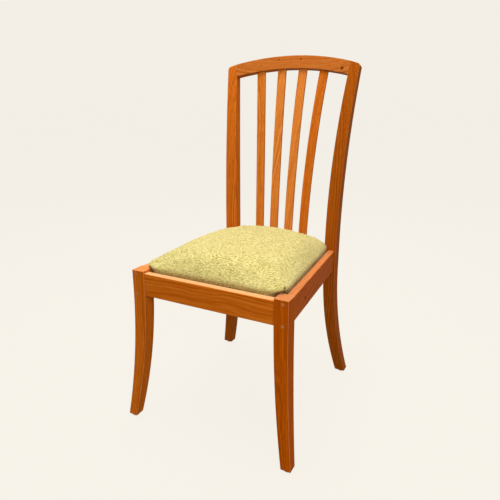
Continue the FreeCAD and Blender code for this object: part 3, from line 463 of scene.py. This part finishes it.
plan = rounded_plan(corners, ROUND, steps=6)
rings = []
for share, low in SKIRT:
    rings.append([(x * share, middle_y + (y - middle_y) * share, low - front_dip(x, y) * (low > TURNED_UNDER))
                  for x, y in plan])
for step in range(1, CROWN_STEPS + 1):
    share = FULL * (1 - (step / CROWN_STEPS) ** GATHER)
    spots = [(x * share, middle_y + (y - middle_y) * share) for x, y in plan]
    rings.append([(x, y, crown(x, y)) for x, y in spots])
mesh = bmesh.new()
levels = [[mesh.verts.new((x, y, seat_plane(y) + high)) for x, y, high in ring] for ring in rings]
banded(mesh, levels, turned=True)
bmesh.ops.remove_doubles(mesh, verts=mesh.verts[:], dist=0.0003)
bmesh.ops.recalc_face_normals(mesh, faces=mesh.faces[:])
cushion = built("cushion", mesh)
remesh = cushion.modifiers.new("even_mesh", "REMESH")
remesh.mode = "VOXEL"
remesh.voxel_size = VOXEL
settled = applied(cushion)
cushion.modifiers.clear()
cushion.data = settled
# The pull of the cloth over the foam: the skirt is held in the frame and the rest swells under a light
# pressure. Its moves are capped and evened out, so the pad keeps its outline.
HELD_BELOW = 0.004
PRESSURE = 4.0
FRAMES = 20
FARTHEST = 0.007
EVENING = 12
held = cushion.vertex_groups.new(name="held_in_frame")
before = [vertex.co.copy() for vertex in cushion.data.vertices]
for vertex in cushion.data.vertices:
    high = vertex.co.z - seat_plane(vertex.co.y)
    if high < HELD_BELOW - front_dip(vertex.co.x, vertex.co.y):
        held.add([vertex.index], 1.0, "REPLACE")
cloth = cushion.modifiers.new("cloth", "CLOTH")
cloth.settings.use_pressure = True
cloth.settings.uniform_pressure_force = PRESSURE
cloth.settings.vertex_group_mass = "held_in_frame"
cloth.settings.effector_weights.gravity = 0.0
cloth.settings.quality = 6
for number in range(1, FRAMES + 1):
    bpy.context.scene.frame_set(number)
drawn = applied(cushion)
cushion.modifiers.clear()
cushion.data = drawn
bpy.context.scene.frame_set(1)
moves = [vertex.co - start for vertex, start in zip(cushion.data.vertices, before)]
moves = [move * min(1.0, FARTHEST / max(move.length, 1e-6)) for move in moves]
beside = [[] for _ in moves]
for edge in cushion.data.edges:
    first, second = edge.vertices
    beside[first].append(second)
    beside[second].append(first)
for _ in range(EVENING):
    moves = [(move + sum((moves[other] for other in others), Vector()) / len(others)) / 2
             for move, others in zip(moves, beside)]
for vertex, start, move in zip(cushion.data.vertices, before, moves):
    vertex.co = start + move
# At each front corner the spare cloth stands out over the leg, folded into one upright pleat that ends in
# a small tuck and opens a dark notch over the corner of the leg.
PLEAT_ACROSS, PLEAT_DEPTH = 0.1863, 0.0386
PLEAT_REACH, PLEAT_CORE = 0.036, 0.028    # distances from it within which the mesh is made finer
PLEAT_FOOT, PLEAT_TOP, PLEAT_END = -0.012, 0.012, 0.036
CREASE = 0.0022                           # half the width of the fold and of the tuck
SWELL, FOLD, TUCK, NOTCH = 0.0075, 0.0030, 0.0065, 0.0070     # how far each moves the cloth
SWELL_HIGH, SWELL_TALL, SWELL_WIDE, SWELL_DEEP = 0.009, 0.0095, 0.014, 0.016
NOTCH_HIGH, NOTCH_TALL, NOTCH_WIDE = -0.003, 0.0055, 0.0045
FOLD_ALONG, TUCK_ALONG, NOTCH_ALONG = 0.007, 0.008, 0.004
FOLD_OVER, FOLD_FADE, FOOT_FADE = 0.002, 0.006, 0.010


def hill(*away):
    """A smooth hill of height one: how far off its middle in each direction, in its own widths."""
    return math.exp(-sum(share ** 2 for share in away))


shape = bmesh.new()
shape.from_mesh(cushion.data)
for reach in (PLEAT_REACH, PLEAT_CORE):
    near = [face for face in shape.faces
            if (Vector((abs(face.calc_center_median().x), face.calc_center_median().y))
                - Vector((PLEAT_ACROSS, FRONT + PLEAT_DEPTH))).length < reach]
    bmesh.ops.subdivide_edges(shape, edges=list({edge for face in near for edge in face.edges}), cuts=1,
                              use_grid_fill=True)
shape.normal_update()
for vertex in shape.verts:
    away = Vector((abs(vertex.co.x) - PLEAT_ACROSS, vertex.co.y - FRONT - PLEAT_DEPTH))
    along = (away.x + away.y) / math.sqrt(2)
    outward = (away.x - away.y) / math.sqrt(2)
    high = vertex.co.z - seat_plane(vertex.co.y)
    if away.length > PLEAT_REACH or not PLEAT_FOOT < high < PLEAT_END:
        continue
    swell = SWELL * hill((high - SWELL_HIGH) / SWELL_TALL, along / SWELL_WIDE, min(0.0, outward) / SWELL_DEEP)
    reach = min(1.0, max(0.0, (PLEAT_TOP + FOLD_OVER - high) / FOLD_FADE))
    reach *= min(1.0, (high - PLEAT_FOOT) / FOOT_FADE)
    fold = FOLD * hill((along - FOLD_ALONG) / CREASE) * reach
    tuck = TUCK * hill((along - TUCK_ALONG) / CREASE, (high - PLEAT_TOP) / CREASE)
    notch = NOTCH * hill((along - NOTCH_ALONG) / NOTCH_WIDE, (high - NOTCH_HIGH) / NOTCH_TALL)
    outwards = (swell - fold - notch) / math.sqrt(2)
    vertex.co -= vertex.normal * tuck
    vertex.co.x += outwards if vertex.co.x > 0 else -outwards
    vertex.co.y -= outwards
shape.to_mesh(cushion.data)
shape.free()
smooth = cushion.modifiers.new("even_surface", "SUBSURF")
smooth.levels = 1
smooth.render_levels = 1
cushion.data.shade_smooth()

# Chenille upholstery cloth, woven with plump straw-coloured weft that floats over a thin olive warp, in
# staggered rows across the seat, slubbed and slightly velvety. The floats are drawn 6 mm long and 2.9 mm
# wide and the slubs about 6 by 1.7 mm, coarser than the yarn, which is too fine to show.
FLOAT = 0.0060
ROW = 0.0029
SLUBS = (165.0, 600.0, 1.0)               # in a metre, across the seat and along it
YARN_WANDER = 0.0016
WANDERS, CLOUDS, PILE = 90.0, 28.0, 2600.0      # in a metre, 11, 36 and 0.4 mm each
CLOTH_HIGH = 0.47                         # level from which the cloth runs down over the shoulders
PAINTED_SHADE_REACH = 0.026                             # how near to the rails the painted shade reaches
material, tree, shader = new_material("woven_chenille")
place = add(tree, "TexCoord").outputs["Object"]
facing = add(tree, "NewGeometry").outputs["Normal"]
split = add(tree, "SeparateXYZ", {0: place})
faces = add(tree, "SeparateXYZ", {0: facing})
drop = add(tree, "Math", {0: split.outputs["Z"], 1: CLOTH_HIGH}, operation="SUBTRACT").outputs[0]
over_x = add(tree, "Math", {0: drop, 1: faces.outputs["X"]}, operation="MULTIPLY").outputs[0]
over_y = add(tree, "Math", {0: drop, 1: faces.outputs["Y"]}, operation="MULTIPLY").outputs[0]
weft = add(tree, "Math", {0: split.outputs["X"], 1: over_x}, operation="SUBTRACT").outputs[0]
warp = add(tree, "Math", {0: split.outputs["Y"], 1: over_y}, operation="SUBTRACT").outputs[0]
flat = add(tree, "CombineXYZ", {0: weft, 1: warp, 2: 0.0}).outputs[0]
wander = add(tree, "TexNoise", {"Vector": flat, "Scale": WANDERS, "Detail": 2.0}).outputs["Color"]
wander = add(tree, "VectorMath", {0: wander, 1: (0.5, 0.5, 0.5)}, operation="SUBTRACT").outputs[0]
wander = add(tree, "VectorMath", {0: wander, 1: (YARN_WANDER, YARN_WANDER, 0.0)}, operation="MULTIPLY").outputs[0]
flat = add(tree, "VectorMath", {0: flat, 1: wander}).outputs[0]
weave = add(tree, "TexBrick", {"Vector": flat, "Scale": 1.0, "Color1": (0.0, 0.0, 0.0, 1.0),
                               "Color2": (1.0, 1.0, 1.0, 1.0), "Mortar": (0.5, 0.5, 0.5, 1.0),
                               "Mortar Size": 0.0005, "Mortar Smooth": 1.0, "Brick Width": FLOAT,
                               "Row Height": ROW}, offset=0.5)
slubs = add(tree, "VectorMath", {0: flat, 1: SLUBS}, operation="MULTIPLY").outputs[0]
slubs = add(tree, "TexNoise", {"Vector": slubs, "Scale": 1.0, "Detail": 3.0, "Roughness": 0.65}).outputs["Fac"]
clouds = add(tree, "TexNoise", {"Vector": flat, "Scale": CLOUDS, "Detail": 2.0}).outputs["Fac"]
yarn = add(tree, "SeparateColor", {0: weave.outputs["Color"]}).outputs[0]
tone = add(tree, "Math", {0: yarn, 1: 0.14}, operation="MULTIPLY").outputs[0]
tone = add(tree, "Math", {0: slubs, 1: 0.80, 2: tone}, operation="MULTIPLY_ADD").outputs[0]
tone = add(tree, "Math", {0: clouds, 1: 0.06, 2: tone}, operation="MULTIPLY_ADD").outputs[0]
colour = add(tree, "ValToRGB", {"Fac": tone},
             [(0.39, "#938a45"), (0.46, "#c5bc71"), (0.52, "#dad28a"), (0.61, "#ece6aa")]).outputs[0]
between = add(tree, "Math", {0: weave.outputs["Fac"], 1: 0.62}, operation="MULTIPLY").outputs[0]
colour = add(tree, "Mix", {0: between, 6: colour, 7: srgb("#8c7c34")}, data_type="RGBA").outputs[2]
# Painted shade: where the cloth tucks in behind the rails, within about 26 mm of them, ambient occlusion darkens it
# to brown.
occlusion = add(tree, "AmbientOcclusion", {"Distance": PAINTED_SHADE_REACH}, samples=8).outputs["AO"]
painted_shade = add(tree, "MapRange", {"Value": occlusion, "From Min": 0.28, "From Max": 0.93, "To Min": 0.92,
                               "To Max": 0.0}).outputs[0]
colour = add(tree, "Mix", {0: painted_shade, 6: colour, 7: srgb("#643c08")}, data_type="RGBA").outputs[2]
pile = add(tree, "TexNoise", {"Vector": place, "Scale": PILE, "Detail": 2.0}).outputs["Fac"]
ridge = add(tree, "Math", {0: 1.0, 1: weave.outputs["Fac"]}, operation="SUBTRACT").outputs[0]
tree.links.new(colour, shader.inputs["Base Color"])
shader.inputs["Roughness"].default_value = 0.92
shader.inputs["Sheen Weight"].default_value = 0.35
shader.inputs["Sheen Roughness"].default_value = 0.5
shader.inputs["Sheen Tint"].default_value = srgb("#f3ecc0")
shader.inputs["Specular IOR Level"].default_value = 0.2
fuzz = add(tree, "Math", {0: pile, 1: 0.35, 2: ridge}, operation="MULTIPLY_ADD").outputs[0]
dent = add(tree, "Bump", {"Height": fuzz, "Distance": 0.0008, "Strength": 0.45}).outputs[0]
tree.links.new(dent, shader.inputs["Normal"])
dress(cushion, material)
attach(cushion, "drop_in_seat")
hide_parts("seat_cover", "seat_foam")

# Dust cover: thin black non-woven cloth stapled under the seat board, over the turned-in edge of the
# upholstery. It hides the board and sags a little between its edges.
DUST_LOW = 0.0167          # below the tops of the side rails
SAG, UNEVEN = 0.0020, 0.0009
WAVES = 18                 # in a metre, about 55 mm each
DUST_ROUND = 0.003
DUST_RINGS = (1.0, 0.97, 0.9, 0.75, 0.55, 0.35, 0.15)         # shares of the outline
FIBRE_MAT = 700.0          # in a metre, 1.4 mm each
dust_plan = [(0.1490, 0.0380), (0.1858, 0.0748), (0.1508, 0.4200)]
dust_plan += [(-across, depth) for across, depth in dust_plan[::-1]]
outline = rounded_plan(dust_plan, DUST_ROUND, steps=3)
mesh = bmesh.new()
rings = []
for share in DUST_RINGS:
    ring = []
    for x, y in outline:
        px, py = x * share, middle_y + (y - middle_y) * share
        sag = (SAG + UNEVEN * noise.noise((px * WAVES, py * WAVES, 0.3))) * (1 - share ** 2) ** 2
        ring.append(mesh.verts.new((px, py, seat_plane(py) - DUST_LOW - sag)))
    rings.append(ring)
banded(mesh, rings)
mesh.faces.new(rings[-1][::-1])
dust = built("dust_cover_cloth", mesh)
dust_mesh = dust.data
dust_mesh.shade_smooth()
material, tree, shader = new_material("black_non_woven")
place = add(tree, "TexCoord").outputs["Object"]
mat = add(tree, "TexNoise", {"Vector": place, "Scale": FIBRE_MAT, "Detail": 5.0, "Roughness": 0.75})
colour = add(tree, "ValToRGB", {"Fac": mat.outputs["Fac"]}, [(0.4, "#0d0d0d"), (0.7, "#242322")]).outputs[0]
tree.links.new(colour, shader.inputs["Base Color"])
shader.inputs["Roughness"].default_value = 0.9
dent = add(tree, "Bump", {"Height": mat.outputs["Fac"], "Distance": 0.0002, "Strength": 0.5}).outputs[0]
tree.links.new(dent, shader.inputs["Normal"])
dress(dust, material)
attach(dust, "drop_in_seat")
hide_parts("dust_cover")

# Staples of the dust cover: bent steel wire about 1 mm thick, 10 mm across, driven 7 mm inside its edge
# and left out over the corner blocks, which the seat rests on.
STAPLE_THICK = 0.00045     # radius of the wire
STAPLE_LOW = 0.0171
STAPLE_INSET = 0.007
STAPLE_STEP = 0.036
BLOCKS_TAKE = 0.13         # length of an edge that the two blocks cover
SHORT_EDGE = 0.10          # edges over a block, which have none
LEAN = 0.12                # how far a staple may sit askew
STAPLE = ((-0.0050, 0.0012), (-0.0046, 0.0), (0.0046, 0.0), (0.0050, 0.0012))
wire = bpy.data.curves.new("dust_cover_staples", "CURVE")
wire.dimensions = "3D"
wire.bevel_depth = STAPLE_THICK
wire.bevel_resolution = 2
centre = Vector((0.0, middle_y))
for here, after in zip(dust_plan, dust_plan[1:] + dust_plan[:1]):
    start, end = Vector((here[0], here[1] + FRONT)), Vector((after[0], after[1] + FRONT))
    run = end - start
    if run.length < SHORT_EDGE:
        continue
    count = int((run.length - BLOCKS_TAKE) / STAPLE_STEP)
    inward = Vector((-run.y, run.x)).normalized()
    inward = inward if inward.dot(centre - start) > 0 else -inward
    for step in range(count + 1):
        share = 0.5 + (step - count / 2) * STAPLE_STEP / run.length
        lean = LEAN * noise.noise((share * 31, start.x * 17, 0.7))
        spot = start + run * share + inward * STAPLE_INSET
        side = run.normalized() + inward * lean
        spline = wire.splines.new("POLY")
        spline.points.add(len(STAPLE) - 1)
        for point, (along, deep) in zip(spline.points, STAPLE):
            x, y = spot + side * along
            point.co = (x, y, seat_plane(y) - STAPLE_LOW + deep, 1.0)
bent = linked("bent_wire", wire)
staple_mesh = applied(bent)
bpy.data.objects.remove(bent)
staples = linked("dust_cover_staples", staple_mesh)
staple_mesh.shade_smooth()
dress(staples, zinc)
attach(staples, "drop_in_seat")

# Studio: a plain pale floor that runs out of sight, a wide soft light overhead, one from the front right
# and one from behind that glances off the upper faces.
FLOOR = 60.0
PAPER = "#f6f2e9"
PAPER_SHARE = 0.96         # of the floor as it is seen, the rest keeps the shadow
AMBIENT, BACKDROP = 0.24, 0.97
LAMPS = (("overhead", (-0.1, -0.1, 2.5), (0.0, 0.0, 0.5), 1.5, 43.0),
         ("behind", (-0.9, 1.7, 2.1), (0.0, 0.0, 0.5), 1.4, 26.0),
         ("front", (1.6, -2.1, 1.9), (0.0, 0.0, 0.45), 1.6, 48.0))


def looked_at(tree):
    """One for the rays by which a surface is seen, straight, mirrored or through glass, else zero."""
    seen = add(tree, "LightPath").outputs
    either = add(tree, "Math", {0: seen["Is Camera Ray"], 1: seen["Is Glossy Ray"]}, operation="MAXIMUM")
    return add(tree, "Math", {0: either.outputs[0], 1: seen["Is Transmission Ray"]}, operation="MAXIMUM").outputs[0]


floor_mesh = bpy.data.meshes.new("floor")
floor_mesh.from_pydata([(-FLOOR, -FLOOR, 0), (FLOOR, -FLOOR, 0), (FLOOR, FLOOR, 0), (-FLOOR, FLOOR, 0)],
                       [], [(0, 1, 2, 3)])
floor = linked("floor", floor_mesh)
material, tree, shader = new_material("pale_floor")
either = looked_at(tree)
tone = add(tree, "Mix", {0: either, 6: srgb("#8d8478"), 7: srgb(PAPER)}, data_type="RGBA").outputs[2]
tree.links.new(tone, shader.inputs["Base Color"])
shader.inputs["Roughness"].default_value = 1.0
shader.inputs["Specular IOR Level"].default_value = 0.0
paper = add(tree, "Emission", {"Color": srgb(PAPER), "Strength": 1.0}).outputs[0]
mostly = add(tree, "Math", {0: either, 1: PAPER_SHARE}, operation="MULTIPLY").outputs[0]
both = add(tree, "MixShader", {0: mostly, 1: shader.outputs[0], 2: paper}).outputs[0]
tree.links.new(both, tree.nodes["Material Output"].inputs["Surface"])
dress(floor, material)
world = bpy.data.worlds.new("studio")
bpy.context.scene.world = world
world.use_nodes = True
tree = world.node_tree
ambient = tree.nodes["Background"]
ambient.inputs["Color"].default_value = srgb("#fbf8f3")
ambient.inputs["Strength"].default_value = AMBIENT
backdrop = add(tree, "Background", {"Color": srgb(PAPER), "Strength": BACKDROP}).outputs[0]
shown = add(tree, "MixShader", {0: looked_at(tree), 1: ambient.outputs[0], 2: backdrop}).outputs[0]
tree.links.new(shown, tree.nodes["World Output"].inputs["Surface"])
for name, place, target, size, power in LAMPS:
    lamp = bpy.data.lights.new(name, "AREA")
    lamp.size = size
    lamp.energy = power
    lamp.color = srgb("#fff6ea")[:3]
    light = linked(name, lamp)
    light.location = place
    light.visible_camera = False
    light.rotation_euler = (Vector(target) - Vector(place)).to_track_quat("-Z", "Y").to_euler()
bpy.context.scene.view_settings.view_transform = "Standard"
